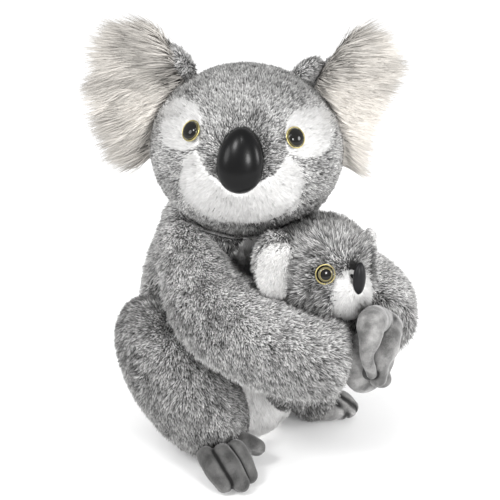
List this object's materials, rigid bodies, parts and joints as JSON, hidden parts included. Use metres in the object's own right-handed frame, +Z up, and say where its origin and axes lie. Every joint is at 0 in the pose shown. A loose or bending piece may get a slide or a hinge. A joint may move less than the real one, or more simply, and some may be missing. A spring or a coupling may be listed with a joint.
{
  "type": "plush koala",
  "caption": "Seated plush koala hugging a baby koala: heather-grey fur, long cream ear fringes, glossy nose and safety eyes, suede paws, turning head and limbs",
  "frame": {"origin": "centre of the flat base panel, on the surface that the toy sits on", "axes": "+Z up, -Y the way the mother's body faces, +X her left side"},
  "size_m": [0.1928, 0.2127, 0.3031],
  "materials": {
    "grey_fur": "heather grey plush, dense short pile, light tips over dark roots",
    "baby_fur": "longer contrasty grey plush, dark roots and pale tips",
    "white_fur": "off-white short plush",
    "ear_fur": "long shaggy cream and taupe pile",
    "suede": "grey suede cloth",
    "base_cloth": "plain grey cloth",
    "pellet_cloth": "calico bag of pellets",
    "pad_cloth": "hook and loop tape",
    "black_gloss": "polished black moulded plastic",
    "eye_gold": "yellow-gold iris ring under a clear coat",
    "washer_plastic": "natural nylon washer"
  },
  "bodies": {
    "torso": {"torso": "grey_fur", "tummy_panel": "white_fur", "base_panel": "base_cloth", "pellet_bag": "pellet_cloth", "baby_body": "baby_fur", "baby_arm_left": "baby_fur", "baby_arm_right": "baby_fur", "baby_leg_left": "baby_fur", "baby_leg_right": "baby_fur", "baby_foot_left": "suede", "baby_foot_right": "suede"},
    "head": {"head": "grey_fur", "muzzle_panel": "white_fur", "eye_panel_left": "white_fur", "eye_panel_right": "white_fur", "nose": "black_gloss", "nose_washer": "washer_plastic", "eye_left": "black_gloss", "eye_ring_left": "eye_gold", "eye_washer_left": "washer_plastic", "eye_right": "black_gloss", "eye_ring_right": "eye_gold", "eye_washer_right": "washer_plastic"},
    "ear_left": {"ear_fur_left": "ear_fur", "ear_back_left": "grey_fur"},
    "ear_right": {"ear_fur_right": "ear_fur", "ear_back_right": "grey_fur"},
    "arm_left": {"arm_left": "grey_fur", "hand_left": "suede", "hook_pad": "pad_cloth"},
    "arm_right": {"arm_right": "grey_fur", "hand_right": "suede", "loop_pad": "pad_cloth"},
    "leg_left": {"leg_left": "grey_fur", "foot_left": "suede"},
    "leg_right": {"leg_right": "grey_fur", "foot_right": "suede"},
    "baby_head": {"baby_head": "baby_fur", "baby_muzzle_panel": "white_fur", "baby_nose": "black_gloss", "baby_nose_washer": "washer_plastic", "baby_ear_fur_left": "white_fur", "baby_ear_back_left": "baby_fur", "baby_ear_fur_right": "white_fur", "baby_ear_back_right": "baby_fur", "baby_eye_left": "black_gloss", "baby_eye_ring_left": "eye_gold", "baby_eye_washer_left": "washer_plastic", "baby_eye_right": "black_gloss", "baby_eye_ring_right": "eye_gold", "baby_eye_washer_right": "washer_plastic"}
  },
  "joints": [
    {"name": "head_turn", "type": "hinge", "parent": "torso", "child": "head", "pos_m": [-0.00676, -0.03933, 0.21546], "axis": [0, 0, 1], "range_deg": [-12, 12]},
    {"name": "ear_left_fold", "type": "hinge", "parent": "head", "child": "ear_left", "pos_m": [0.0367, -0.07148, 0.24061], "axis": [0.0922, 0.2345, 0.9677], "range_deg": [-14, 14], "stiffness_Nm_per_rad": 0.03},
    {"name": "ear_right_fold", "type": "hinge", "parent": "head", "child": "ear_right", "pos_m": [-0.02942, 0.00744, 0.24874], "axis": [0.2971, -0.0057, 0.9548], "range_deg": [-14, 14], "stiffness_Nm_per_rad": 0.03},
    {"name": "arm_left_open", "type": "hinge", "parent": "torso", "child": "arm_left", "pos_m": [0.04059, -0.0171, 0.14364], "axis": [0, -0.342, 0.9397], "range_deg": [0, 24]},
    {"name": "arm_right_open", "type": "hinge", "parent": "torso", "child": "arm_right", "pos_m": [-0.04367, -0.01938, 0.14706], "axis": [0, -0.342, 0.9397], "range_deg": [-12, 0]},
    {"name": "leg_left_splay", "type": "hinge", "parent": "torso", "child": "leg_left", "pos_m": [0.05289, -0.01938, 0.05387], "axis": [0, 0, 1], "range_deg": [0, 8]},
    {"name": "leg_right_splay", "type": "hinge", "parent": "torso", "child": "leg_right", "pos_m": [-0.05473, -0.02166, 0.05557], "axis": [0, 0, 1], "range_deg": [-8, 0]},
    {"name": "baby_head_turn", "type": "hinge", "parent": "torso", "child": "baby_head", "pos_m": [0.00555, -0.09462, 0.1419], "axis": [0, 0, 1], "range_deg": [-10, 10]}
  ],
  "couplings": [
    {"joint": "arm_right_open", "follows": "arm_left_open", "ratio": -0.5}
  ]
}
